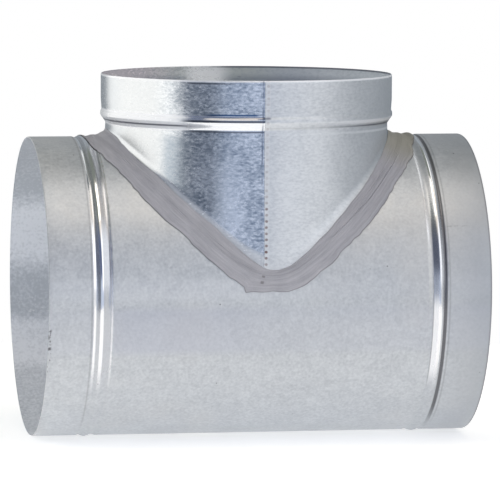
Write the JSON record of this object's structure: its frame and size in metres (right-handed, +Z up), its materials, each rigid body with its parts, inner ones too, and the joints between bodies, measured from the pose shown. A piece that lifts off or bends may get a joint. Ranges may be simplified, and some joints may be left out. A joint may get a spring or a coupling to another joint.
{
  "type": "ventilation duct tee",
  "caption": "Round sheet-steel duct tee: a straight run with rolled stop beads, and a full-bore branch on a sealed saddle joint.",
  "frame": {"origin": "where the centre line of the run crosses the centre line of the branch", "axes": "+X along the run, +Z up the branch towards its rim, +Y away from the front with the branch's lap seam"},
  "size_m": [0.587, 0.4039, 0.4848],
  "materials": {
    "run_sheet": "galvanised, softly mottled grey",
    "branch_sheet": "galvanised, brighter, with small spangle",
    "sealant": "matt brushed duct sealant"
  },
  "bodies": {
    "root": {"run_tube": "run_sheet", "branch_collar": "branch_sheet", "sealant_band": "sealant"}
  },
  "joints": []
}
